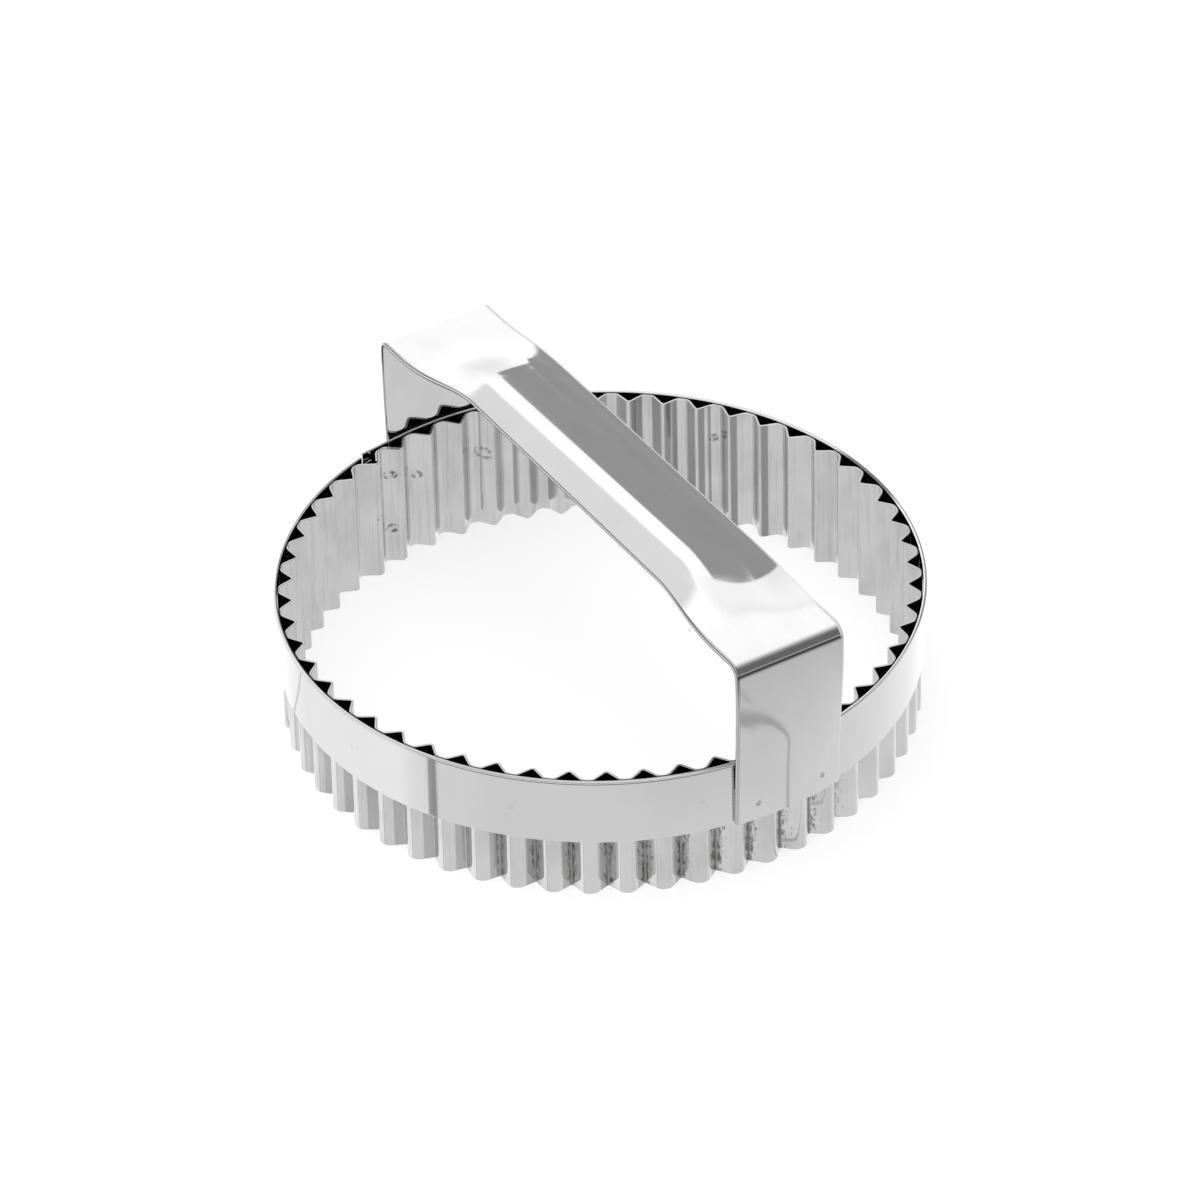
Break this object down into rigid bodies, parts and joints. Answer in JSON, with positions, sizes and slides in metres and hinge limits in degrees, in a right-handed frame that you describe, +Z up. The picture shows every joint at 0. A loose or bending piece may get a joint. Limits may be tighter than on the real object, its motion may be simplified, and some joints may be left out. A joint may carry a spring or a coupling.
{
  "type": "round pastry cutter",
  "caption": "Round fluted pastry cutter: a corrugated steel ring with a cutting edge, an outer band with a folded rim, and an arched strap handle across the top.",
  "frame": {"origin": "centre of the ring, in the plane of its cutting edge", "axes": "+Z up, along the ring's axis, from the cutting edge towards the handle; +X along the handle's strap, towards its front leg; +Y across the strap"},
  "size_m": [0.1236, 0.1216, 0.0554],
  "materials": {
    "ring_steel": "bright tinned sheet",
    "band_steel": "bright tinned sheet",
    "strap_steel": "bright tinned sheet",
    "weld_steel": "dull weld spot"
  },
  "bodies": {
    "root": {"fluted_ring": "ring_steel", "outer_band": "band_steel", "handle_strap": "strap_steel", "ring_seam_welds": "weld_steel", "band_ring_welds": "weld_steel", "front_leg_welds": "weld_steel", "rear_leg_welds": "weld_steel"}
  },
  "joints": []
}
